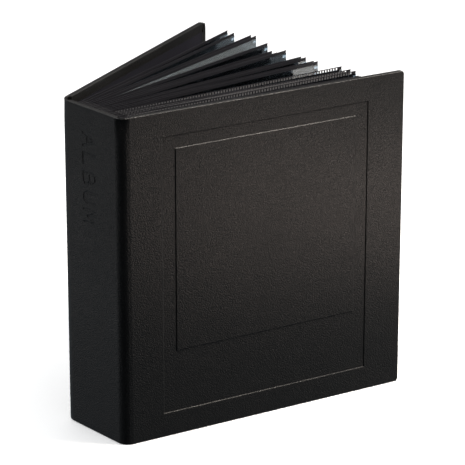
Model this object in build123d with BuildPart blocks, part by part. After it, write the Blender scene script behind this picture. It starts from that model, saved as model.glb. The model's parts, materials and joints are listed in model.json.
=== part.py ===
"""Case-bound pocket album for instant prints, standing on its tail edge, partly open.

The album is built as a bookbinder builds it. A case of two covers and a spine, each a greyboard in a
leather-look wrap with a lining inside, is joined by two flexible hinge strips. Black leaves with clear
pocket films on both faces are glued by their roots to guards on the inside of the spine.

Frame, millimetres: the origin is at the tail (bottom) of the spine, midway through its wall.
+X runs from the spine towards the fore edge, +Y from the front cover to the back cover, +Z up.
"""

import os
from math import cos, radians, sin

from build123d import *

# Case, outside sizes when closed
cover_height = 245.0
cover_reach = 239.0  # outside of the spine to the fore edge
case_depth = 70.0  # outside of the front cover to the outside of the back cover
front_corner = 2.5  # radius of the front cover's fore-edge corners
back_corner = 4.5

# Wall of the case, the same for both covers and the spine
board_thickness = 3.0
wrap_thickness = 0.8
lining_thickness = 0.6
turn_in = 7.0  # visible border of the wrap inside the case
edge_round = 0.9

# Flexible hinges between the spine and the covers
hinge_bend = 8.0  # from the closed case's square corner to the edge of the spine's panel
cover_setback = 9.0  # from the same corner to the edge of the cover's panel
strip_thickness = 1.4
strip_clearance = 0.15

# Rest pose: how far each cover stands open, degrees
front_open = 8.5
back_open = 26.0

# Blind-pressed border on the front cover, as distances from the outside of the spine and from the tail
pressed_depth = 0.45
frame_left, frame_right, frame_low, frame_high = 33.4, 207.2, 18.2, 226.6
window_left, window_right, window_low, window_high = 44.2, 196.8, 64.9, 217.1

# Binding inside the spine
binding_thickness = 2.6
binding_margin = 3.0  # how far its ends stand back from the case's tail and head
guard_depth = 1.6
guard_thickness = 1.2
root_gap = 0.3

# Leaves, listed from the front cover to the back cover by how far each leans at rest, degrees
leaf_lean = [
    -5.3, -5.2, -5.2, -5.2, -5.0, -4.8, -4.7, -4.6, 2.1, 2.6,
    4.2, 4.9, 8.5, 10.3, 11.0, 11.6, 14.0, 14.7, 18.4, 19.5,
]  # fmt: skip
leaf_pitch = 2.7
leaf_length = 208.0
leaf_tail = 4.0
leaf_head = 242.0
core_thickness = 0.3
leaf_corner = 1.5

# Clear pocket films on both faces of a leaf, with two columns and two rows of pockets
film_depth = 0.35
film_skin = 0.1
bare_margin = 11.0  # bare core beside the root, where the leaf bends
weld = 4.0
mouth_slit = 1.5

# Derived places
wall = wrap_thickness + board_thickness + lining_thickness
spine_outside = -wall / 2
hinge_y = case_depth / 2 - wall / 2
spine_half = case_depth / 2 - hinge_bend
cover_start = cover_setback + spine_outside
cover_end = cover_reach + spine_outside
mid_height = cover_height / 2
guard_x = wall / 2 + binding_thickness
root_x = guard_x + guard_depth + root_gap
leaf_height = leaf_head - leaf_tail
leaf_roots = [(i - (len(leaf_lean) - 1) / 2) * leaf_pitch for i in range(len(leaf_lean))]
pocket_width = (leaf_length - bare_margin - 2 * weld) / 2
pocket_height = (leaf_height - 3 * weld) / 2


def upright_plane(x, y, z, direction, outward=1):
    """A plane standing on edge. Its x runs along direction (degrees from +X), its normal faces outward."""
    turn = radians(direction)
    normal = (-outward * sin(turn), outward * cos(turn), 0)
    return Plane((x, y, z), x_dir=(cos(turn), sin(turn), 0), z_dir=normal)


def save(part, name):
    part.label = name
    export_step(part, f"parts/{name}.step")


def blank(low, high, height, inset=0.0, far_corner_radius=0.0):
    """A rectangle from low to high along the sketch's x, inset on all sides, its far corners rounded."""
    with BuildSketch(mode=Mode.PRIVATE) as outline:
        with Locations(((low + high) / 2, 0)):
            Rectangle(high - low - 2 * inset, height - 2 * inset)
        if far_corner_radius > 0:
            fillet(outline.vertices().sort_by(Axis.X)[-2:], far_corner_radius)
    return outline.sketch


def case_panel(name, middle, low, high, fore_corner=0.0, pressed_frame=False):
    """One stiff panel of the case: a wrap turned in round a board, and the lining in its window.

    middle is the plane halfway through the wall, facing outwards. low and high are its ends in that plane.
    """
    inside, outside = middle.offset(-wall / 2), middle.offset(wall / 2)
    board_plane = inside.offset(lining_thickness)
    panel_outline = blank(low, high, cover_height, 0, fore_corner)
    board_outline = blank(low, high, cover_height, wrap_thickness, fore_corner - wrap_thickness)
    window_outline = blank(low, high, cover_height, turn_in)
    through_wall = Axis(middle.origin, middle.z_dir)

    with BuildPart() as wrap:
        with BuildSketch(inside):
            add(panel_outline)
        extrude(amount=wall)
        two_faces = wrap.faces().sort_by(through_wall)
        fillet(two_faces[-1].edges() + two_faces[0].edges(), edge_round)
        with BuildSketch(board_plane):
            add(board_outline)
        extrude(amount=board_thickness, mode=Mode.SUBTRACT)
        with BuildSketch(inside):
            add(window_outline)
        extrude(amount=lining_thickness, mode=Mode.SUBTRACT)
        if pressed_frame:
            with BuildSketch(outside.offset(-pressed_depth)):
                box_between(frame_left, frame_right, frame_low, frame_high)
                box_between(window_left, window_right, window_low, window_high, Mode.SUBTRACT)
            extrude(amount=pressed_depth, mode=Mode.SUBTRACT)
    save(wrap.part, f"{name}_wrap")

    with BuildPart() as stiffener:
        with BuildSketch(board_plane):
            add(board_outline)
        extrude(amount=board_thickness)
    save(stiffener.part, f"{name}_board")

    with BuildPart() as lining:
        with BuildSketch(inside):
            add(window_outline)
        extrude(amount=lining_thickness)
    save(lining.part, f"{name}_lining")


def box_between(left, right, low, high, mode=Mode.ADD):
    """A rectangle given as distances from the outside of the spine and from the tail."""
    with Locations(((left + right) / 2 + spine_outside, (low + high) / 2 - mid_height)):
        Rectangle(right - left, high - low, mode=mode)


def hinge_strip(name, side, direction, cover_plane):
    """The flexible gutter from the spine's edge round to the cover's edge. side is -1 front, +1 back."""
    depth = wall / 2 - strip_thickness / 2
    spine_end = (spine_outside + strip_thickness / 2, side * (spine_half + strip_clearance))
    cover_point = cover_plane.from_local_coords((cover_start - strip_clearance, 0, depth))
    turn = radians(direction)
    with BuildPart() as strip:
        with BuildSketch(Plane.XY.offset(strip_clearance)):
            with BuildLine():
                Spline(
                    spine_end,
                    (cover_point.X, cover_point.Y),
                    tangents=[(0, side), (cos(turn), sin(turn))],
                )
            trace(line_width=strip_thickness)
        extrude(amount=cover_height - 2 * strip_clearance)
    save(strip.part, name)


def binding():
    """The strip glued to the spine's lining, and the guards that the leaf roots are welded to."""
    with BuildPart() as strip:
        with BuildSketch(Plane.XY.offset(binding_margin)):
            with Locations(((wall / 2 + guard_x) / 2, 0)):
                Rectangle(binding_thickness, leaf_pitch * (len(leaf_lean) - 1) + guard_thickness)
        extrude(amount=cover_height - 2 * binding_margin)
    save(strip.part, "binding_strip")

    with BuildPart() as guards:
        with BuildSketch(Plane.XY.offset(leaf_tail)):
            with Locations([(guard_x + guard_depth / 2, y) for y in leaf_roots]):
                Rectangle(guard_depth, guard_thickness)
        extrude(amount=leaf_height)
    save(guards.part, "page_guards")


def leaf(number, root_y, lean):
    """One black leaf, its root on the hinge axis at root_x, and the pocket films on its two faces."""
    core_plane = upright_plane(root_x, root_y, (leaf_tail + leaf_head) / 2, lean)
    face = core_plane.offset(core_thickness / 2)
    outer_column = bare_margin + pocket_width + weld
    row_step = pocket_height + weld

    with BuildPart() as core:
        with BuildSketch(core_plane):
            add(blank(0, leaf_length, leaf_height, 0, leaf_corner))
        extrude(amount=core_thickness / 2, both=True)
    save(core.part, f"leaf_{number:02d}")

    with BuildPart() as films:
        with BuildSketch(face):
            add(blank(bare_margin, leaf_length, leaf_height, 0, leaf_corner))
        extrude(amount=film_depth)
        with BuildSketch(face):
            with Locations((bare_margin + pocket_width / 2, 0), (outer_column + pocket_width / 2, 0)):
                with GridLocations(0, row_step, 1, 2):
                    Rectangle(pocket_width, pocket_height)
        extrude(amount=film_depth - film_skin, mode=Mode.SUBTRACT)
        with BuildSketch(face):
            with Locations((outer_column + mouth_slit / 2, 0)):
                with GridLocations(0, row_step, 1, 2):
                    Rectangle(mouth_slit, pocket_height)
        extrude(amount=film_depth, mode=Mode.SUBTRACT)
        mirror(about=core_plane)
    save(films.part, f"pockets_{number:02d}")


os.makedirs("parts", exist_ok=True)

front_plane = upright_plane(0, -hinge_y, mid_height, -front_open, outward=-1)
back_plane = upright_plane(0, hinge_y, mid_height, back_open)
spine_plane = upright_plane(0, 0, mid_height, 90)

case_panel("front_cover", front_plane, cover_start, cover_end, front_corner, pressed_frame=True)
case_panel("spine", spine_plane, -spine_half, spine_half)
case_panel("back_cover", back_plane, cover_start, cover_end, back_corner)
hinge_strip("front_hinge_strip", -1, -front_open, front_plane)
hinge_strip("back_hinge_strip", 1, back_open, back_plane)
binding()
for number, (root_y, lean) in enumerate(zip(leaf_roots, leaf_lean), start=1):
    leaf(number, root_y, lean)
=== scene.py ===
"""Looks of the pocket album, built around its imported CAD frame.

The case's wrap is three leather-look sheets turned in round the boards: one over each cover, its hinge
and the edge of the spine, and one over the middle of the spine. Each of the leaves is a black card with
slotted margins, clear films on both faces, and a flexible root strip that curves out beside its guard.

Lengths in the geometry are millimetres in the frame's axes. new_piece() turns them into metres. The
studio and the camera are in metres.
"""

import json

import bpy
import numpy as np
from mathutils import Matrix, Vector

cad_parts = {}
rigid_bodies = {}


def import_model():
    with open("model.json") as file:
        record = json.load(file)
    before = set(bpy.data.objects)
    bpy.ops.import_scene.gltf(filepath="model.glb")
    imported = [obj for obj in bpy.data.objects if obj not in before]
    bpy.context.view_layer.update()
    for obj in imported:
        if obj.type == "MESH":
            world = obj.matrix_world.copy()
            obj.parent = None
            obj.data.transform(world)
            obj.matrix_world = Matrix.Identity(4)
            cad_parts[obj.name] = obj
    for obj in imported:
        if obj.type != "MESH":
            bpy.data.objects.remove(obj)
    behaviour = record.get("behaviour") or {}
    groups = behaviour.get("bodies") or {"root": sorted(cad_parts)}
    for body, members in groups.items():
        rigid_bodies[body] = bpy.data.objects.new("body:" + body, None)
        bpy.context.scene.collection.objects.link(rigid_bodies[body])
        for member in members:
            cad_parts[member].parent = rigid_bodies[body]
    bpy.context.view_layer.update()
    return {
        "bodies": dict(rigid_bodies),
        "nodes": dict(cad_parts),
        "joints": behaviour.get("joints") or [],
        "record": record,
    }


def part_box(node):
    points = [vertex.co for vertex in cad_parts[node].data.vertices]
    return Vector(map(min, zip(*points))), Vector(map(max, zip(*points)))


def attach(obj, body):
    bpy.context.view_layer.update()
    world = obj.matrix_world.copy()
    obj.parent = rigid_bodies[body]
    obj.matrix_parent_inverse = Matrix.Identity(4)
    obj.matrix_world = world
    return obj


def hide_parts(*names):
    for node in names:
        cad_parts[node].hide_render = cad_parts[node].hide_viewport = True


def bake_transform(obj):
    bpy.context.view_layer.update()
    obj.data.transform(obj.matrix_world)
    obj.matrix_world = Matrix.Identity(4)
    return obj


MM = 0.001

# Wrap of the case
WRAP = 0.8  # thickness of the leather-look sheet
EDGE_RADIUS = 0.85  # rounding where the wrap turns over the edge of a board
EDGE_SHARE = 0.45  # most of a wall's thickness that the rounding may take
TURN_IN = 7.0
TURN_IN_LINE = 2.0  # an extra grid line of the turned-in border, this far inside the face's outline
HINGE_WALL = 1.9  # wrap and its turn-in where there is no board
WALL_STEP = 1.3  # run over which the wall thins beside a board
WALL_STEP_INSET = 0.4  # how far inside the edge of the board's panel that run starts
SEAM = 20.0  # half the width of the spine's own sheet
CORNER_RADIUS = {"front": 2.5, "back": 5.5}
PANEL_STEP = 4  # spacing of the grid on a flat panel
HINGE_STEP = 0.5  # and where the sheet bends
HINGE_GRID_BEYOND = 3  # how far the finer grid goes on over the cover's panel

# Rounded corner between the spine and a cover, with a crease beside the cover's board
SHOULDER_RADIUS = {"front": 8.5, "back": 13.0}
CREASE_DEPTH = 0.1
CREASE_HALF = 1.3
HEAD_DIP = {"front": 1.7, "back": 0.3}  # how far the corner is drawn in at the head
HEAD_DIP_REACH = 16.0
EASED_OVER = 30  # points to each side over which the direction of the inner face is evened out

# Black strip glued inside each hinge
LINING = 0.3
LINING_GAP = 0.12  # between the strip and the case
LINING_OVERLAP = 3.0  # onto the spine's own sheet, and onto the cover's lining
LINING_LAP = 1.0  # over the turned-in border at the head and the tail

# Blind-pressed border on the front cover: left, right, low, high from the spine's outside and the tail
PRESSED_FRAME = (33.4, 207.2, 18.2, 226.6)
PRESSED_WINDOW = (44.2, 196.8, 64.9, 217.1)
PRESSED_DEPTH = 0.62
PRESS_SLOPE = 0.32  # half the width of a pressed wall
PRESS_LINES = (-0.5, -0.32, -0.16, 0, 0.16, 0.32, 0.5)  # grid lines across a pressed wall, from its middle

# Blind-pressed word on the spine, read from the head down
WORD = "ALBUM"
WORD_TOP = 226.0
LETTER_STEP = 14.2
LETTER_WIDTH = 9.5
LETTER_HEIGHT = 13.5
LETTER_MIDDLE = 2.0  # middle of the word across the spine
STROKE = 0.75  # half the width of a stroke
WORD_DEPTH = 0.35
WORD_SLOPE = 0.3  # half the width of a stroke's sloped side
WORD_STEP = 0.3  # spacing of the grid under the word
WORD_MARGIN = 1.5  # how far that grid goes beyond the word's two sides

# Cards of the leaves
CORE = 0.3
CARD_START = 0.2  # from the leaf's hinge axis
CARD_COLUMNS = 24
RIB_PITCH = 2.45
RIB_WIDTH = 1.3
SLOT_HEIGHT = 1.9
EDGE_LINE = 0.5  # width of the card beyond the slots
LAST_OPEN_LEAF = 8  # the slots of the leaves behind it are closed by a web
WEB = 0.4 * CORE
OPEN_TONE, CLOSED_TONE = 1.0, 0.0  # of the ribs, on leaves with open and with closed slots
TAB_PITCH = 5.0
TAB_HEIGHT = 3.1
TAB_SETBACK = 0.3
FORE_MARGIN = 4.2

# Films of the leaves
FILM = 0.12
FILM_GAP = 0.02  # between the film and the card on the welds
FILM_START = 11.0
FILM_LAP = 0.2  # how far the film laps over the rows of slots
FILM_STEP_ALONG, FILM_STEP_UP = 9, 11  # spacing of its grid
SEAM_LINES = (-4, -2, 0, 2, 4)  # grid lines beside the edge of a weld
WELD = 4.0
MOUTH = 1.5
PILLOW = 0.35  # how far the film stands off over a pocket
PILLOW_EDGE = 5  # run over which the film rises from a weld
RIPPLE = 0.08
SHORT_WAVE, LONG_WAVE = (11, 17), (23, 31)  # ripple: millimetres to the radian, along and up the leaf
LONG_WAVE_SHARE = 0.6
# The second value and the leaves after it paint a reflection: those leaves get a milky, paler film that
# stands in for the sheen reflected on their faces.
CLEAR, PAINTED_SHEEN_CLEARNESS = 1.0, 0.88  # how much of a film is see-through; the rest is milky
PAINTED_SHEEN_LEAVES = (17, 18)

# Shape of the leaves
PAIR_SHIFT = 0.5  # how far two leaves of a pair lean together
PAIRS = ((1, 2), (4, 5), (6, 7))
# How much higher the fore edge of each leaf sits than its root, from the front cover to the back cover
LEAF_RISE = [-3, -3, 0, -3, 0, -3, -3, 0, -1.9, -2.5, -1.5, -2, 0, -3.5, -3.3, 2, 5.8, 5.4, 4.7, 5.5]
RISE_POWER = 1.3  # above 1, most of the rise lies towards the fore edge
BOW = 0.25  # most that a leaf bows to either side near its root
BOWED_LEAVES, EXTRA_BOW = (9, 10, 11, 12), 1.3
BOW_REACH = 60.0

# Flexible roots of the leaves
ROOT_STRIP = 0.55
ROOT_BACK = 1.6  # how far the strip reaches back from the hinge axis, inside the guard
ROOT_TURN = 0.3  # the point that pulls the strip's curve, beyond the hinge axis
ROOT_LAP = 8.0  # a distance along the leaf from the hinge axis
ROOT_BLEND = 4.0  # how far from the hinge axis it bends with the leaf's turn
ROOT_POINTS, ROOT_ROWS = 15, 12

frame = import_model()
joints = {joint["name"]: joint for joint in frame["joints"]}
couplings = {c["joint"]: c for c in frame["record"]["behaviour"]["couplings"]}


# ---------------------------------------------------------------- measures taken from the frame


def turned(points, degrees):
    """Points of the plan turned about the origin, anticlockwise."""
    angle = np.radians(degrees)
    c, s = np.cos(angle), np.sin(angle)
    return points @ np.array([[c, s], [-s, c]])


class Cover:
    """One cover of the case, measured in its own plan: x along the cover from its hinge, y outwards."""

    def __init__(self, name, side):
        self.name, self.side, self.body = name, side, f"{name}_cover"
        joint = joints[f"{name}_cover_hinge"]
        low, high = joint["range_deg"]
        self.open = high if side < 0 else -low
        self.hinge = np.array([joint["pos_m"][0], side * joint["pos_m"][1]]) / MM
        wrap = frame["nodes"][f"{name}_cover_wrap"].data.vertices
        plan = np.array([(v.co.x, side * v.co.y) for v in wrap]) / MM - self.hinge
        plan = turned(plan, -self.open)
        self.start, self.end = plan[:, 0].min(), plan[:, 0].max()
        self.outside = plan[:, 1].max()


covers = [Cover("front", -1), Cover("back", 1)]
case_low, case_high = (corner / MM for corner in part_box("spine_wrap"))
HEIGHT = case_high.z
WALL = case_high.x - case_low.x
SPINE_X = case_low.x
SPINE_HALF = case_high.y


# ---------------------------------------------------------------- mesh tools


def new_piece(name, vertices, faces, material, sharp=35.0):
    """A mesh object from vertices in millimetres, with faces smooth up to an angle of sharp degrees."""
    mesh = bpy.data.meshes.new(name)
    mesh.from_pydata((np.asarray(vertices) * MM).tolist(), [], [list(map(int, f)) for f in faces])
    mesh.validate()
    mesh.polygons.foreach_set("use_smooth", np.ones(len(mesh.polygons), bool))
    mesh.set_sharp_from_angle(angle=np.radians(sharp))
    mesh.materials.append(material)
    piece = bpy.data.objects.new(name, mesh)
    bpy.context.scene.collection.objects.link(piece)
    return piece


def thickened(vertices, faces, thickness):
    """A closed solid from an open sheet of quads: the sheet, its copy at thickness behind it, and a rim."""
    vertices, faces = np.asarray(vertices, float), np.asarray(faces, int)
    a, b, c, d = (vertices[faces[:, k]] for k in range(4))
    face_normals = np.cross(c - a, d - b)
    normals = np.zeros_like(vertices)
    for k in range(4):
        np.add.at(normals, faces[:, k], face_normals)
    normals /= np.linalg.norm(normals, axis=1, keepdims=True) + 1e-12
    edges = np.concatenate([faces[:, [k, (k + 1) % 4]] for k in range(4)])
    count = len(vertices)
    keys = set(map(tuple, edges))
    rim = [(q, p, p + count, q + count) for p, q in edges if (q, p) not in keys]
    behind = faces[:, ::-1] + count
    return np.concatenate([vertices, vertices - thickness * normals]), np.concatenate([faces, behind, rim])


def grid_faces(columns, rows, keep=None):
    """Quads of a grid whose vertex (i, j) has number i * rows + j. keep(i, j) may leave cells out."""
    return [
        (i * rows + j, (i + 1) * rows + j, (i + 1) * rows + j + 1, i * rows + j + 1)
        for i in range(columns - 1)
        for j in range(rows - 1)
        if keep is None or keep(i, j)
    ]


def lines_between(low, high, step, marks=(), near=()):
    """Sorted grid lines from low to high, about step apart, with extra lines at marks + each of near.

    A plain line that would be closer to an extra one than 0.3 of a step is left out.
    """
    extra = [mark + offset for mark in marks for offset in near]
    extra = [value for value in extra if low < value < high]
    plain = np.linspace(low, high, max(2, int(round((high - low) / step)) + 1))
    clear = [v for v in plain[1:-1] if all(abs(v - e) > 0.3 * step for e in extra)]
    return np.unique(np.round([low, high, *extra, *clear], 4))


def smooth_step(value):
    t = np.clip(value, 0.0, 1.0)
    return t * t * (3 - 2 * t)


class Solids:
    """Collects closed solids into one mesh, with a tone from 0 to 1 that its material may read."""

    def __init__(self):
        self.vertices, self.faces, self.tones, self.count = [], [], [], 0

    def add(self, vertices, faces, tone=0.0):
        self.vertices.append(np.asarray(vertices, float))
        self.faces.extend((np.asarray(faces, int) + self.count).tolist())
        self.tones.append(np.full(len(vertices), tone))
        self.count += len(vertices)

    def piece(self, name, material, sharp=35.0):
        piece = new_piece(name, np.concatenate(self.vertices), self.faces, material, sharp)
        tones = piece.data.attributes.new("tone", "FLOAT", "POINT")
        tones.data.foreach_set("value", np.concatenate(self.tones))
        return piece


# ---------------------------------------------------------------- materials


class Nodes:
    """A small helper that adds and links shader nodes of one material."""

    def __init__(self, name):
        self.material = bpy.data.materials.new(name)
        self.material.use_nodes = True
        self.tree = self.material.node_tree
        self.shader = self.tree.nodes["Principled BSDF"]

    def add(self, kind, links=(), **settings):
        node = self.tree.nodes.new(kind)
        for name, value in settings.items():
            if hasattr(node, name):
                setattr(node, name, value)
            else:
                node.inputs[name.replace("_", " ")].default_value = value
        for name, source in dict(links).items():
            self.tree.links.new(source, node.inputs[name])
        return node

    def set(self, **values):
        for name, value in values.items():
            self.shader.inputs[name.replace("_", " ")].default_value = value

    def link(self, source, name):
        self.tree.links.new(source, self.shader.inputs[name])

    def place(self, scale=(1, 1, 1)):
        position = self.add("ShaderNodeTexCoord").outputs["Object"]
        return self.add("ShaderNodeMapping", {"Vector": position}, Scale=scale).outputs["Vector"]

    def noise(self, place, scale, detail=3.0, roughness=0.5):
        node = self.add(
            "ShaderNodeTexNoise", {"Vector": place}, Scale=scale, Detail=detail, Roughness=roughness
        )
        return node.outputs["Fac"]

    def cells(self, place, scale, feature="F1", randomness=1.0):
        node = self.add(
            "ShaderNodeTexVoronoi", {"Vector": place}, feature=feature, Scale=scale, Randomness=randomness
        )
        return node.outputs["Distance"]

    def ramp(self, source, low, high, from_low=0.0, from_high=1.0):
        node = self.add("ShaderNodeMapRange", {"Value": source})
        names = ("From Min", "From Max", "To Min", "To Max")
        for name, value in zip(names, (from_low, from_high, low, high)):
            node.inputs[name].default_value = value
        return node.outputs["Result"]

    def mixed(self, source, first, second):
        node = self.add("ShaderNodeMix", {"Factor": source}, data_type="RGBA")
        node.inputs["A"].default_value = (*first, 1)
        node.inputs["B"].default_value = (*second, 1)
        return node.outputs["Result"]

    def maths(self, operation, first, second):
        node = self.add("ShaderNodeMath", {0: first}, operation=operation)
        if isinstance(second, (int, float)):
            node.inputs[1].default_value = second
        else:
            self.tree.links.new(second, node.inputs[1])
        return node.outputs["Value"]

    def bump(self, height, distance, strength=1.0, before=None):
        links = {"Height": height}
        if before is not None:
            links["Normal"] = before
        return self.add("ShaderNodeBump", links, Distance=distance, Strength=strength).outputs["Normal"]


def leather_material():
    """Black leather-look wrap: fine pebbled grain, faint creases, and soft uneven sheen."""
    n = Nodes("leather_look_wrap")
    place = n.place()
    pebbles = n.ramp(n.cells(place, 1250, "SMOOTH_F1"), 1.0, 0.0, 0.1, 0.75)
    creases = n.ramp(n.cells(place, 620, "DISTANCE_TO_EDGE"), 0.0, 1.0, 0.0, 0.12)
    fine = n.noise(place, 2600, 4)
    cloud = n.noise(place, 14, 4, 0.6)
    mottle = n.noise(place, 260, 3)
    patches = n.maths("MULTIPLY", cloud, mottle)
    n.link(n.mixed(patches, (0.0050, 0.0050, 0.0050), (0.0120, 0.0117, 0.0115)), "Base Color")
    n.link(n.maths("ADD", n.ramp(cloud, 0.31, 0.41, 0.3, 0.7), n.ramp(fine, -0.05, 0.05)), "Roughness")
    n.set(Specular_IOR_Level=0.25)
    grain = n.bump(pebbles, 0.00016)
    grain = n.bump(creases, 0.00008, 0.8, grain)
    n.link(n.bump(fine, 0.00002, 0.8, grain), "Normal")
    return n.material


def endpaper_material():
    """Black endpaper with a fine laid texture and scattered fibres."""
    n = Nodes("black_endpaper")
    place = n.place()
    fibres = n.noise(n.place((900, 900, 140)), 1.0, 5, 0.6)
    mottle = n.noise(place, 380, 4, 0.6)
    patches = n.maths("MULTIPLY", fibres, mottle)
    n.link(n.mixed(patches, (0.006, 0.006, 0.009), (0.016, 0.016, 0.021)), "Base Color")
    n.link(n.ramp(mottle, 0.62, 0.8), "Roughness")
    n.set(Specular_IOR_Level=0.08)
    n.link(n.bump(mottle, 0.00003, 0.8, n.bump(fibres, 0.00004)), "Normal")
    return n.material


def board_material():
    """Grey millboard with flecks."""
    n = Nodes("greyboard")
    place = n.place()
    flecks = n.noise(place, 1400, 5, 0.7)
    layers = n.noise(n.place((60, 60, 1200)), 1.0, 3)
    n.link(n.mixed(flecks, (0.16, 0.155, 0.145), (0.34, 0.33, 0.31)), "Base Color")
    n.set(Roughness=0.92, Specular_IOR_Level=0.2)
    n.link(n.bump(flecks, 0.00008, 1.0, n.bump(layers, 0.00005)), "Normal")
    return n.material


def binding_material():
    """Matte black binding strip and guards, with a fine woven face."""
    n = Nodes("binding_cloth")
    place = n.place()
    threads = n.add("ShaderNodeTexWave", {"Vector": place}, bands_direction="Z", Scale=420.0, Distortion=0.6)
    weft = n.add("ShaderNodeTexWave", {"Vector": place}, bands_direction="Y", Scale=420.0, Distortion=0.6)
    weave = n.maths("MULTIPLY", threads.outputs["Fac"], weft.outputs["Fac"])
    n.link(n.mixed(weave, (0.008, 0.008, 0.010), (0.018, 0.018, 0.021)), "Base Color")
    n.link(n.ramp(n.noise(place, 500), 0.5, 0.72), "Roughness")
    n.set(Specular_IOR_Level=0.2)
    n.link(n.bump(weave, 0.00003), "Normal")
    return n.material


def card_material():
    """Black card of the leaves, greyer where its tone is 1: on the ribs between open slots."""
    n = Nodes("black_card")
    place = n.place()
    fibres = n.noise(place, 900, 5, 0.65)
    cloud = n.noise(place, 35, 3)
    tone = n.add("ShaderNodeAttribute", attribute_name="tone").outputs["Fac"]
    black = n.mixed(n.maths("MULTIPLY", fibres, cloud), (0.006, 0.006, 0.008), (0.017, 0.017, 0.021))
    grey = n.mixed(fibres, (0.07, 0.07, 0.075), (0.12, 0.12, 0.125))
    toned = n.add("ShaderNodeMix", {"Factor": tone, "A": black, "B": grey}, data_type="RGBA")
    n.link(toned.outputs["Result"], "Base Color")
    n.link(n.ramp(fibres, 0.42, 0.6), "Roughness")
    n.set(Specular_IOR_Level=0.22)
    n.link(n.bump(fibres, 0.00003), "Normal")
    return n.material


def film_material(name, clearness):
    """Bluish glossy pocket film, very slightly rippled and worn by rubbing. Below 1, clearness makes it
    milky: a paler film that paints the sheen reflected on a leaf's face.
    """
    n = Nodes(name)
    place = n.place()
    ripple = n.noise(n.place((1, 1, 0.35)), 45, 2)
    rub = n.noise(place, 300, 4, 0.7)
    n.link(n.mixed(rub, (0.46, 0.53, 0.58), (0.57, 0.64, 0.69)), "Base Color")
    n.link(n.ramp(rub, 0.04, 0.09, 0.35, 0.7), "Roughness")
    n.set(Transmission_Weight=clearness, IOR=1.5)
    n.link(n.bump(ripple, 0.0002, 0.2), "Normal")
    return n.material


def floor_material():
    """Pale seamless studio paper, with a faint glow of its own that keeps it near white."""
    n = Nodes("pale_floor")
    speck = n.noise(n.place(), 60, 4, 0.6)
    n.link(n.mixed(speck, (0.93, 0.93, 0.93), (0.96, 0.96, 0.96)), "Base Color")
    n.set(Roughness=0.8, Specular_IOR_Level=0.1, Emission_Color=(1.0, 1.0, 1.0, 1.0), Emission_Strength=0.21)
    return n.material


leather = leather_material()
endpaper = endpaper_material()
greyboard = board_material()
binding_cloth = binding_material()
card = card_material()
film = film_material("clear_pocket_film", CLEAR)
# milky copy of the film, a painted reflection for the leaves it is given to
painted_sheen_film = film_material("painted_sheen_pocket_film", PAINTED_SHEEN_CLEARNESS)


# ---------------------------------------------------------------- the case


class Profile:
    """Plan of the wall from the middle of the spine to a cover's fore edge, y counted towards that cover.

    u runs along the outer face in millimetres. depth runs from the outer face to the inner one.
    """

    def __init__(self, cover):
        self.side = cover.side
        turn = 90.0 - cover.open
        bends = [(SHOULDER_RADIUS[cover.name] * np.radians(turn), -turn)]
        normal = np.array([-np.sin(np.radians(cover.open)), np.cos(np.radians(cover.open))])
        _, points, _ = self.walked(bends)
        missing = cover.outside - (points[-1] - cover.hinge) @ normal
        first = missing / normal[1]
        _, points, _ = self.walked([(first, 0.0), *bends])
        along = turned((points[-1] - cover.hinge)[None], -cover.open)[0, 0]
        last = cover.end - along
        self.arc_start, self.arc_end = first, first + bends[0][0]
        self.u, self.outer, heading = self.walked([(first, 0.0), *bends, (last, 0.0)])
        self.length = self.u[-1]
        self.cover_zero = self.length - cover.end  # u of a place x on the cover is cover_zero + x
        hinge_start = SPINE_HALF - WALL_STEP_INSET
        hinge_end = self.cover_zero + cover.start + WALL_STEP_INSET
        spine_part = 1 - smooth_step((self.u - hinge_start) / WALL_STEP)
        cover_part = smooth_step((self.u - hinge_end) / WALL_STEP + 1)
        self.wall = HINGE_WALL + (WALL - HINGE_WALL) * (spine_part + cover_part)
        count = 2 * EASED_OVER + 1
        window = np.ones(count) / count
        eased = np.convolve(np.pad(heading, EASED_OVER, mode="edge"), window, mode="valid")
        inward = np.column_stack([np.sin(eased), -np.cos(eased)])
        self.inner = self.outer + inward * self.wall[:, None]

    @staticmethod
    def walked(steps, spacing=0.1):
        """Follow steps of (length, turn in degrees) from the spine's middle, heading along its face."""
        ends = np.concatenate([[0], np.cumsum([length for length, _ in steps])])
        turns = np.concatenate([[0], np.cumsum([angle for _, angle in steps])])
        u = np.linspace(0, ends[-1], int(ends[-1] / spacing) + 2)
        heading = np.radians(90 + np.interp(u, ends, turns))
        middle = (heading[1:] + heading[:-1]) / 2
        moves = np.column_stack([np.cos(middle), np.sin(middle)]) * np.diff(u)[:, None]
        points = np.array([SPINE_X, 0.0]) + np.concatenate([[[0, 0]], np.cumsum(moves, axis=0)])
        return u, points, heading

    def wall_at(self, u):
        return np.interp(u, self.u, self.wall)

    def place(self, u, z, depth):
        """Points of the frame at u along the wall, height z, and depth in from the outer face."""
        u = np.asarray(u, float)
        share = np.asarray(depth, float) / self.wall_at(u)
        x, y = (
            np.interp(u, self.u, self.outer[:, k]) * (1 - share)
            + np.interp(u, self.u, self.inner[:, k]) * share
            for k in (0, 1)
        )
        beyond = np.maximum(u - self.length, 0)
        direction = (self.outer[-1] - self.outer[-2]) / np.linalg.norm(self.outer[-1] - self.outer[-2])
        x, y = x + beyond * direction[0], y + beyond * direction[1]
        return np.column_stack([x, self.side * y, np.broadcast_to(z, x.shape)])


class SpineWall:
    """The flat middle of the spine, with the same calls as Profile. u is y, from front to back."""

    def wall_at(self, u):
        return np.full(np.shape(u), WALL)

    def place(self, u, z, depth):
        u = np.asarray(u, float)
        return np.column_stack([SPINE_X + np.broadcast_to(depth, u.shape), u, np.broadcast_to(z, u.shape)])


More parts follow.
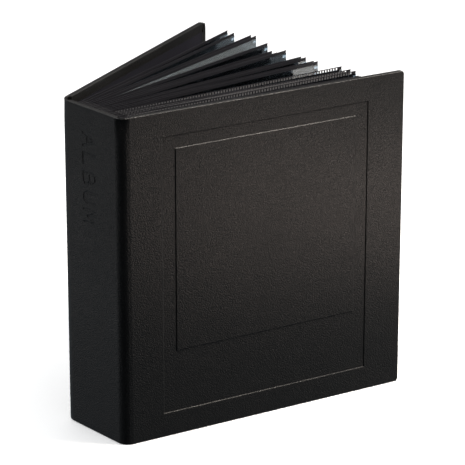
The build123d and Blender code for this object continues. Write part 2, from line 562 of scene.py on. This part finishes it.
def edge_path(wall):
    """(outward, depth) of the wrap as it turns over the edge of a wall of that thickness."""
    r = EDGE_RADIUS
    deep = np.minimum(r, EDGE_SHARE * wall)
    over = [(r * np.sin(a), deep * (1 - np.cos(a))) for a in np.radians([22.5, 45.0, 67.5, 90.0])]
    back = [(r * np.cos(a), wall - deep * (1 - np.sin(a))) for a in np.radians([0.0, 22.5, 45.0, 67.5, 90.0])]
    return [*over, (r, wall / 2), *back, (-TURN_IN_LINE, wall), (r - TURN_IN, wall)]


def wrapped_sheet(wall, u_lines, z_lines, corner=None, relief=None):
    """The wrap over one panel: its outer face, and the edges turned in. The sides at u's low end are open.

    corner is the radius of the two corners at u's high end; without it that side is open too.
    relief(u, z) gives how deep a place of the outer face is pressed in.
    """
    r = EDGE_RADIUS
    columns, rows = len(u_lines), len(z_lines)
    u, z = (values.ravel() for values in np.meshgrid(u_lines, z_lines, indexing="ij"))
    depth = relief(u, z) if relief else np.zeros_like(u)
    out_u, out_z = np.zeros_like(u), np.zeros_like(u)
    low, high, end = z_lines[0], z_lines[-1], u_lines[-1]
    out_z[z == low], out_z[z == high] = -1, 1
    if corner is not None:
        c = corner - r
        out_u[u == end] = 1
        for edge, sign in ((low, -1), (high, 1)):
            middle_u, middle_z = end - c, edge - sign * c
            a, b = (u - middle_u) / c, (z - middle_z) * sign / c
            inside = (a > 0) & (b > 0)
            a, b = np.clip(a, 0, 1), np.clip(b, 0, 1)
            round_a, round_b = a * np.sqrt(1 - b * b / 2), b * np.sqrt(1 - a * a / 2)
            u = np.where(inside, middle_u + c * round_a, u)
            z = np.where(inside, middle_z + sign * c * round_b, z)
            rim = inside & ((a == 1) | (b == 1))
            out_u, out_z = np.where(rim, round_a, out_u), np.where(rim, sign * round_b, out_z)
    vertices = [wall.place(u, z, depth)]
    faces = grid_faces(columns, rows)
    tail = [i * rows for i in range(columns)]
    head = [i * rows + rows - 1 for i in range(columns)][::-1]
    fore = [(columns - 1) * rows + j for j in range(1, rows - 1)]
    loops = [tail, head] if corner is None else [tail + fore + head]
    count = len(u)
    for loop in loops:
        before = loop
        for outward, inward in edge_path(wall.wall_at(u[loop])):
            ring_u, ring_z = u[loop] + out_u[loop] * outward, z[loop] + out_z[loop] * outward
            if outward < 0 and corner is not None:
                around = (u[loop], z[loop], out_u[loop], out_z[loop])
                ring_u, ring_z = inset_ring(*around, -outward, corner - r, end)
            ring = list(range(count, count + len(loop)))
            count += len(loop)
            vertices.append(wall.place(ring_u, ring_z, inward))
            faces += [(before[k], ring[k], ring[k + 1], before[k + 1]) for k in range(len(loop) - 1)]
            before = ring
    return np.concatenate(vertices), np.array(faces)


def inset_ring(u, z, out_u, out_z, inset, corner, end, reach=20.0, small=0.3):
    """The turned-in border's outline, inset from the face's outline, with its own small corner radius.

    Points nearer than reach to a corner are squeezed together, so that they fit the shorter outline.
    """
    r = EDGE_RADIUS
    low, high = r, HEIGHT - r
    shrink = (reach - inset - small) / (reach - corner)

    def eased(distance):
        """Distance from the outline's end, squeezed so that the part within reach fits the inset outline."""
        return np.where(distance < reach, inset + small + (distance - corner) * shrink, distance)

    sign = np.where(z > HEIGHT / 2, 1.0, -1.0)
    edge = np.where(sign > 0, high, low)
    is_corner = (out_u > 1e-6) & (np.abs(out_z) > 1e-6)
    on_side = np.abs(out_z) > 0.999999
    new_u = np.where(on_side, end - eased(end - u), end - inset)
    new_z = np.where(on_side, edge - sign * inset, edge - sign * eased(np.abs(edge - z)))
    new_u = np.where(is_corner, end - inset - small + small * out_u, new_u)
    new_z = np.where(is_corner, edge - sign * (inset + small) + small * out_z, new_z)
    return new_u, new_z


def hump(distance, half):
    """1 at distance 0, falling smoothly to 0 at half."""
    return 1 - smooth_step(np.abs(distance) / half)


def hinge_relief(cover, profile, u, z):
    """How deep the rounded corner is creased beside the cover's board, and drawn in at the head."""
    middle = (profile.arc_start + profile.arc_end) / 2
    head = smooth_step((z - HEIGHT + HEAD_DIP_REACH) / HEAD_DIP_REACH)
    half = (profile.arc_end - profile.arc_start) / 2
    crease = CREASE_DEPTH * hump(u - profile.arc_end + CREASE_HALF, CREASE_HALF)
    return crease + HEAD_DIP[cover.name] * head * hump(u - middle, half)


def pressed_border(profile, u, z):
    """How deep the front cover's border is pressed: a flat between two rectangles, with sloped walls."""
    x = u - profile.cover_zero - SPINE_X
    depth = np.zeros_like(u)
    for sign, (left, right, low, high) in ((1, PRESSED_FRAME), (-1, PRESSED_WINDOW)):
        inside = np.minimum(np.minimum(x - left, right - x), np.minimum(z - low, high - z))
        depth += sign * smooth_step(inside / (2 * PRESS_SLOPE) + 0.5)
    return PRESSED_DEPTH * depth


def cover_skin(cover, profile):
    """The wrap of one cover with its hinge and the spine's edge, as one sheet that bends at the hinge."""
    corner = CORNER_RADIUS[cover.name]
    u_marks, z_marks = [], []
    if cover.name == "front":
        boxes = (PRESSED_FRAME, PRESSED_WINDOW)
        u_marks = [profile.cover_zero + SPINE_X + x for box in boxes for x in box[:2]]
        z_marks = [z for box in boxes for z in box[2:]]
    end, c = profile.length - EDGE_RADIUS, corner - EDGE_RADIUS
    third, two_thirds = c * 0.33, c * 0.66
    flat_start = profile.cover_zero + cover.start + HINGE_GRID_BEYOND
    hinge_lines = np.arange(SEAM, flat_start, HINGE_STEP)
    flat_lines = lines_between(flat_start, end - c, PANEL_STEP, u_marks, PRESS_LINES)
    u_lines = np.unique(np.round([*hinge_lines, *flat_lines], 4))
    u_lines = np.append(u_lines, [end - two_thirds, end - third, end])
    low, high = EDGE_RADIUS, HEIGHT - EDGE_RADIUS
    tail_lines = [low, low + third, low + two_thirds]
    head_lines = [high - two_thirds, high - third, high]
    middle_lines = lines_between(low + c, high - c, PANEL_STEP, z_marks, PRESS_LINES)
    z_lines = np.concatenate([tail_lines, middle_lines, head_lines])

    def relief(u, z):
        pressed = pressed_border(profile, u, z) if cover.name == "front" else 0
        return pressed + hinge_relief(cover, profile, u, z)

    vertices, faces = wrapped_sheet(profile, u_lines, z_lines, corner, relief)
    if cover.side > 0:
        faces = faces[:, ::-1]
    skin = new_piece(f"{cover.name}_case_skin", *thickened(vertices, faces, WRAP), leather)
    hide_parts(f"{cover.name}_cover_wrap", f"{cover.name}_hinge_strip")
    bend(skin)


def bend(piece):
    """Bake a piece's transform into its mesh."""
    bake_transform(piece)


def hinge_lining(cover, profile):
    """Black strip glued inside the hinge, from the spine's lining to the cover's."""
    step, rows = 0.6, 60
    first = SEAM - LINING_OVERLAP
    last = profile.cover_zero + cover.start + TURN_IN + LINING_OVERLAP
    u_lines = np.arange(first, last, step)
    z_lines = np.linspace(TURN_IN - LINING_LAP, HEIGHT - TURN_IN + LINING_LAP, rows)
    u, z = (values.ravel() for values in np.meshgrid(u_lines, z_lines, indexing="ij"))
    vertices = profile.place(u, z, profile.wall_at(u) + LINING_GAP)
    faces = np.array(grid_faces(len(u_lines), len(z_lines)))
    if cover.side < 0:
        faces = faces[:, ::-1]
    strip = new_piece(f"{cover.name}_hinge_lining", *thickened(vertices, faces, -LINING), endpaper)
    bend(strip)


LETTERS = {
    "A": [[(0, 0), (0.5, 1), (1, 0)], [(0.2, 0.38), (0.8, 0.38)]],
    "L": [[(0.08, 1), (0.08, 0), (0.9, 0)]],
    "B": [[(0.08, 0), (0.08, 1), (0.6, 1), (0.82, 0.88), (0.82, 0.66), (0.6, 0.54), (0.08, 0.54)],
          [(0.6, 0.54), (0.92, 0.42), (0.92, 0.12), (0.65, 0), (0.08, 0)]],
    "U": [[(0.08, 1), (0.08, 0.28), (0.25, 0.05), (0.5, 0), (0.75, 0.05), (0.92, 0.28), (0.92, 1)]],
    "M": [[(0, 0), (0.08, 1), (0.5, 0.3), (0.92, 1), (1, 0)]],
}  # fmt: skip


def word_strokes():
    """Line segments of the pressed word, as rows of (y, z, y, z) on the spine's outer face."""
    rows = []
    for place, letter in enumerate(WORD):
        top = WORD_TOP - place * LETTER_STEP
        for stroke in LETTERS[letter]:
            # the word reads from the head down, so a letter's width runs down and its height to the front
            points = [
                (LETTER_MIDDLE + (0.5 - y) * LETTER_HEIGHT, top - x * LETTER_WIDTH) for x, y in stroke
            ]
            rows += [(*p, *q) for p, q in zip(points, points[1:])]
    return np.array(rows)


def pressed_word(u, z):
    """How deep the spine's word is pressed at each place."""
    points = np.column_stack([u, z])
    nearest = np.full(len(points), np.inf)
    for row in word_strokes():
        p, q = row[:2], row[2:]
        along = q - p
        share = np.clip((points - p) @ along / (along @ along), 0, 1)
        nearest = np.minimum(nearest, np.linalg.norm(points - p - share[:, None] * along, axis=1))
    return WORD_DEPTH * (1 - smooth_step((nearest - STROKE + WORD_SLOPE) / (2 * WORD_SLOPE)))


def spine_skin():
    """The wrap over the middle of the spine, with the pressed word."""
    letters_low = WORD_TOP - len(WORD) * LETTER_STEP
    reach = LETTER_HEIGHT / 2 + WORD_MARGIN
    fine_y = np.arange(LETTER_MIDDLE - reach, LETTER_MIDDLE + reach, WORD_STEP)
    front_y, back_y = np.linspace(-SEAM, fine_y[0], 6), np.linspace(fine_y[-1], SEAM, 6)
    y_lines = np.unique(np.round([*front_y, *fine_y, *back_y], 4))
    fine_z = np.arange(letters_low, WORD_TOP + 2, WORD_STEP)
    low, high = EDGE_RADIUS, HEIGHT - EDGE_RADIUS
    below, above = np.linspace(low, fine_z[0], 40), np.linspace(fine_z[-1], high, 8)
    z_lines = np.concatenate([below[:-1], fine_z, above[1:]])
    vertices, faces = wrapped_sheet(SpineWall(), y_lines, z_lines, None, pressed_word)
    skin = new_piece("spine_skin", *thickened(vertices, faces[:, ::-1], WRAP), leather)
    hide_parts("spine_wrap")
    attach(skin, "spine")


# ---------------------------------------------------------------- the leaves


class Leaf:
    """One leaf, measured along s from its root, height z, and depth from its middle plane."""

    def __init__(self, number):
        self.number = number
        self.body = f"leaf_body_{number:02d}"
        joint = joints[f"leaf_{number:02d}_root"]
        coupling = couplings[joint["name"]]
        driver = covers[0] if coupling["follows"] == "front_cover_hinge" else covers[1]
        self.lean = coupling["ratio"] * driver.open * driver.side
        self.root = np.array(joint["pos_m"][:2]) / MM
        core = np.array([v.co for v in frame["nodes"][f"leaf_{number:02d}"].data.vertices]) / MM
        self.length = np.linalg.norm(core[:, :2] - self.root, axis=1).max()
        self.low, self.high = core[:, 2].min(), core[:, 2].max()
        self.pocket_width = (self.length - FILM_START - 2 * WELD) / 2
        self.pocket_height = (self.high - self.low - 3 * WELD) / 2
        self.rise = LEAF_RISE[number - 1]
        random = np.random.default_rng(number)
        self.bow = random.uniform(-BOW, BOW) + (EXTRA_BOW if number in BOWED_LEAVES else 0.0)
        self.phases = random.uniform(0, 2 * np.pi, 3)
        self.shift = sum(PAIR_SHIFT * ((number == first) - (number == second)) for first, second in PAIRS)

    def place(self, s, z, depth):
        s = np.asarray(s, float)
        bow = self.bow * np.sin(np.pi * np.clip(s / BOW_REACH, 0, 1)) ** 2
        across = self.shift * smooth_step(s / BOW_REACH) - bow + np.asarray(depth, float)
        angle = np.radians(self.lean)
        x = self.root[0] + s * np.cos(angle) - across * np.sin(angle)
        y = self.root[1] + s * np.sin(angle) + across * np.cos(angle)
        rise = self.rise * (s / self.length) ** RISE_POWER
        return np.column_stack([x, y, np.broadcast_to(z, x.shape) + rise])

    def slab(self, solids, s_range, z_range, thickness, columns=1, tone=0.0):
        """Add a flat closed bar of the leaf between two places and two heights."""
        s = np.repeat(np.linspace(*s_range, columns + 1), 2)
        z = np.tile(z_range, columns + 1)
        near = self.place(s, z, -thickness / 2)
        far = self.place(s, z, thickness / 2)
        count = len(s)
        sides = np.array(grid_faces(columns + 1, 2))
        ends = [(0, 1, count + 1, count), (count - 1, count - 2, 2 * count - 2, 2 * count - 1)]
        for k in range(columns):
            ends += [
                (2 * k + 2, 2 * k, count + 2 * k, count + 2 * k + 2),
                (2 * k + 1, 2 * k + 3, count + 2 * k + 3, count + 2 * k + 1),
            ]
        faces = np.concatenate([sides, sides[:, ::-1] + count, ends])
        solids.add(np.concatenate([near, far]), faces, tone)


def leaf_core(leaf):
    """Black card with a row of slots along its tail and head, and tabs along its fore edge."""
    solids = Solids()
    margin = SLOT_HEIGHT + EDGE_LINE
    body_end = leaf.length - FORE_MARGIN
    panel, whole = (CARD_START, body_end), (CARD_START, leaf.length)
    leaf.slab(solids, panel, (leaf.low + margin, leaf.high - margin), CORE, CARD_COLUMNS)
    leaf.slab(solids, whole, (leaf.high - EDGE_LINE, leaf.high), CORE, CARD_COLUMNS)
    leaf.slab(solids, whole, (leaf.low, leaf.low + EDGE_LINE), CORE, CARD_COLUMNS)
    tone = OPEN_TONE
    if leaf.number > LAST_OPEN_LEAF:
        # the ribs of these leaves stand on a thin web
        tone = CLOSED_TONE
        for low in (leaf.low + EDGE_LINE, leaf.high - margin):
            leaf.slab(solids, panel, (low, low + SLOT_HEIGHT), WEB, CARD_COLUMNS)
    for start in np.arange(CARD_START, body_end - RIB_WIDTH, RIB_PITCH):
        for low in (leaf.low + EDGE_LINE, leaf.high - margin):
            leaf.slab(solids, (start, start + RIB_WIDTH), (low, low + SLOT_HEIGHT), CORE, tone=tone)
    for top in np.arange(leaf.high - EDGE_LINE, leaf.low + TAB_HEIGHT, -TAB_PITCH):
        leaf.slab(solids, (body_end, leaf.length - TAB_SETBACK), (top - TAB_HEIGHT, top), CORE)
    piece = solids.piece(f"leaf_card_{leaf.number:02d}", card)
    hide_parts(f"leaf_{leaf.number:02d}")
    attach(piece, leaf.body)


def film_height(leaf, s, z):
    """How far the film stands off the leaf's middle plane: flat on the welds, pillowed over the pockets."""
    stand = np.zeros_like(s)
    for column in range(2):
        for row in range(2):
            left = FILM_START + column * (leaf.pocket_width + WELD)
            low = leaf.low + WELD + row * (leaf.pocket_height + WELD)
            inside_s = np.minimum(s - left, left + leaf.pocket_width - s)
            inside_z = np.minimum(z - low, low + leaf.pocket_height - z)
            stand = np.maximum(stand, smooth_step(np.minimum(inside_s, inside_z) / PILLOW_EDGE))
    wave = np.sin(s / SHORT_WAVE[0] + leaf.phases[0]) * np.sin(z / SHORT_WAVE[1] + leaf.phases[1])
    wave += LONG_WAVE_SHARE * np.sin(s / LONG_WAVE[0] + leaf.phases[2] + z / LONG_WAVE[1])
    return CORE / 2 + FILM + FILM_GAP + stand * (PILLOW + RIPPLE * wave)


def leaf_film(leaf):
    """Clear films on the two faces of a leaf, with two columns and two rows of pockets and their mouths."""
    mouth = FILM_START + leaf.pocket_width + WELD
    seams = [FILM_START + leaf.pocket_width, mouth, mouth + MOUTH, leaf.length - WELD]
    middle = (leaf.low + leaf.high) / 2
    z_seams = [leaf.low + WELD, middle - WELD / 2, middle + WELD / 2, leaf.high - WELD]
    s_lines = lines_between(FILM_START, leaf.length, FILM_STEP_ALONG, seams, SEAM_LINES)
    bare = SLOT_HEIGHT + EDGE_LINE - FILM_LAP
    z_lines = lines_between(leaf.low + bare, leaf.high - bare, FILM_STEP_UP, z_seams, SEAM_LINES)
    s, z = (values.ravel() for values in np.meshgrid(s_lines, z_lines, indexing="ij"))

    def is_film(i, j):
        s_middle, z_middle = (s_lines[i] + s_lines[i + 1]) / 2, (z_lines[j] + z_lines[j + 1]) / 2
        in_mouth = mouth < s_middle < mouth + MOUTH
        in_pocket = z_seams[0] < z_middle < z_seams[1] or z_seams[2] < z_middle < z_seams[3]
        return not (in_mouth and in_pocket)

    faces = np.array(grid_faces(len(s_lines), len(z_lines), is_film))
    height = film_height(leaf, s, z)
    solids = Solids()
    used = np.unique(faces)
    numbers = np.full(len(s), -1)
    numbers[used] = np.arange(len(used))
    for sign in (-1, 1):
        vertices = leaf.place(s, z, sign * height)[used]
        shown = numbers[faces] if sign < 0 else numbers[faces][:, ::-1]
        solids.add(*thickened(vertices, shown, FILM))
    # the listed leaves get the milky film, which paints the sheen reflected on their faces
    painted_sheen_leaf = leaf.number in PAINTED_SHEEN_LEAVES
    piece = solids.piece(f"leaf_film_{leaf.number:02d}", painted_sheen_film if painted_sheen_leaf else film)
    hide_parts(f"pockets_{leaf.number:02d}")
    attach(piece, leaf.body)


def leaf_root(leaf):
    """Flexible strip from the guard to the bare margin of a leaf."""
    inside_guard = leaf.root[0] - ROOT_BACK
    share = np.linspace(0, 1, ROOT_POINTS)
    bend_end = leaf.place([ROOT_LAP], 0, 0)[0, :2]
    start = np.array([inside_guard, leaf.root[1]])
    control = np.array([leaf.root[0] + ROOT_TURN, leaf.root[1]])
    path = np.array([(1 - t) ** 2 * start + 2 * t * (1 - t) * control + t * t * bend_end for t in share])
    z_lines = np.linspace(leaf.low, leaf.high, ROOT_ROWS)
    vertices = np.array([(x, y, z) for x, y in path for z in z_lines])
    along = np.gradient(path, axis=0)
    normals = np.column_stack([along[:, 1], -along[:, 0]]) / np.linalg.norm(along, axis=1)[:, None]
    vertices[:, :2] += np.repeat(normals, len(z_lines), axis=0) * ROOT_STRIP / 2
    faces = np.array(grid_faces(len(path), len(z_lines)))
    piece = new_piece(f"leaf_hinge_{leaf.number:02d}", *thickened(vertices, faces, ROOT_STRIP), binding_cloth)
    end = leaf.place([ROOT_BLEND], 0, 0)[0]
    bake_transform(piece)


# ---------------------------------------------------------------- the studio

# Unlit sides of the room: a direction, and the cosines of the angles to it where the dark starts and is full
DARK_SIDES = [
    ((-0.848, -0.530, 0.0), 0.45, 0.86),
    ((0.888, 0.323, -0.326), 0.86, 0.95),
    ((0.608, 0.724, 0.326), 0.80, 0.93),
]
DARK = 0.06  # what is left of the light there

# Light of the surroundings: from the horizon down, and above the elevation whose sine is HIGH
LOW_LIGHT, HIGH_LIGHT = (0.13, 0.155, 0.18), (0.50, 0.52, 0.54)
HIGH = 0.35

# Lamps: name, place, target, size, watts, colour, and the degrees that the light keeps within
LAMPS = [
    ("key", (0.37, -0.28, 0.74), (0.1, -0.04, 0.2), (0.28, 0.28), 9, (1.0, 0.90, 0.80), 180),
    ("top", (0.1, 0.3, 1.8), (0.1, 0.0, 0.0), (2.4, 2.4), 36, (1.0, 0.99, 0.98), 180),
    ("side", (0.79, -0.68, -0.06), (0.2, 0.0, 0.22), (0.42, 0.34), 1.2, (1.0, 0.93, 0.86), 180),
    ("front", (0.27, -0.25, 0.085), (0.19, -0.06, 0.165), (0.34, 0.10), 0.055, (1.0, 0.82, 0.72), 60),
    ("left", (-0.49, 0.58, -0.06), (0.0, 0.0, 0.16), (0.5, 0.35), 0.4, (1.0, 0.94, 0.89), 180),
]

FLOOR_HALF = 12.0
FLOOR_DROP = 0.0002  # below the album's tail

CAMERA_PLACE = (-1.0772, -1.4338, 0.7737)
CAMERA_TURN = (70.885, 0.0, -40.048)
LENS = 206.7  # focal length for a sensor SENSOR wide, both in millimetres
SENSOR = 36.0


def floor():
    """A wide floor that neither lights the album nor is reflected in it, and casts no shadow."""
    mesh = bpy.data.meshes.new("studio_floor")
    half = FLOOR_HALF
    corners = [(-half, -half, 0), (half, -half, 0), (half, half, 0), (-half, half, 0)]
    mesh.from_pydata(corners, [], [(0, 1, 2, 3)])
    mesh.materials.append(floor_material())
    plane = bpy.data.objects.new("studio_floor", mesh)
    plane.location.z = -FLOOR_DROP
    bpy.context.scene.collection.objects.link(plane)
    plane.visible_diffuse = plane.visible_glossy = plane.visible_shadow = False


def softbox(name, place, target, size, power, color, spread):
    """A soft rectangular lamp at place, facing target, with its light kept within spread degrees."""
    data = bpy.data.lights.new(name, "AREA")
    data.shape = "RECTANGLE"
    data.size, data.size_y = size
    data.energy = power
    data.spread = np.radians(spread)
    data.color = color
    lamp = bpy.data.objects.new(name, data)
    lamp.location = place
    lamp.rotation_euler = (Vector(target) - Vector(place)).to_track_quat("-Z", "Y").to_euler()
    lamp.visible_camera = False
    bpy.context.scene.collection.objects.link(lamp)


def ramp_node(tree, source, *stops):
    """A colour ramp of two stops, each a place and a colour."""
    node = tree.nodes.new("ShaderNodeValToRGB")
    tree.links.new(source, node.inputs["Fac"])
    for element, (place, color) in zip(node.color_ramp.elements, stops):
        element.position, element.color = place, (*color, 1)
    return node.outputs["Color"]


def studio():
    """The floor, the lamps, and surroundings that are paler above the horizon and dark on three sides."""
    floor()
    world = bpy.data.worlds.new("studio")
    world.use_nodes = True
    tree = world.node_tree
    background = tree.nodes["Background"]
    direction = tree.nodes.new("ShaderNodeTexCoord").outputs["Generated"]
    split = tree.nodes.new("ShaderNodeSeparateXYZ")
    tree.links.new(direction, split.inputs["Vector"])
    light = ramp_node(tree, split.outputs["Z"], (0.0, LOW_LIGHT), (HIGH, HIGH_LIGHT))
    lit, unlit = (1.0, 1.0, 1.0), (DARK, DARK, DARK)
    for side, starts, full in DARK_SIDES:
        towards = tree.nodes.new("ShaderNodeVectorMath")
        towards.operation = "DOT_PRODUCT"
        towards.inputs[1].default_value = side
        tree.links.new(direction, towards.inputs[0])
        dark = ramp_node(tree, towards.outputs["Value"], (starts, lit), (full, unlit))
        product = tree.nodes.new("ShaderNodeMix")
        product.data_type = "RGBA"
        product.blend_type = "MULTIPLY"
        product.inputs["Factor"].default_value = 1.0
        tree.links.new(light, product.inputs["A"])
        tree.links.new(dark, product.inputs["B"])
        light = product.outputs["Result"]
    tree.links.new(light, background.inputs["Color"])
    bpy.context.scene.world = world
    for lamp in LAMPS:
        softbox(*lamp)
    bpy.context.scene.view_settings.view_transform = "Standard"


def camera():
    data = bpy.data.cameras.new("camera")
    data.lens = LENS
    data.sensor_width = SENSOR
    data.clip_end = 100.0
    viewer = bpy.data.objects.new("camera", data)
    viewer.location = CAMERA_PLACE
    viewer.rotation_euler = np.radians(CAMERA_TURN)
    bpy.context.scene.collection.objects.link(viewer)
    bpy.context.scene.camera = viewer


# ---------------------------------------------------------------- making it

for cover in covers:
    profile = Profile(cover)
    cover_skin(cover, profile)
    hinge_lining(cover, profile)
spine_skin()

leaf_count = sum(name.startswith("leaf_body_") for name in frame["bodies"])
for leaf_number in range(1, leaf_count + 1):
    leaf = Leaf(leaf_number)
    leaf_core(leaf)
    leaf_film(leaf)
    leaf_root(leaf)

cad_materials = {
    "board": greyboard,
    "lining": endpaper,
    "binding_strip": binding_cloth,
    "page_guards": binding_cloth,
}
for node, shown in frame["nodes"].items():
    for ending, material in cad_materials.items():
        if node.endswith(ending):
            shown.data.materials.clear()
            shown.data.materials.append(material)

studio()
camera()
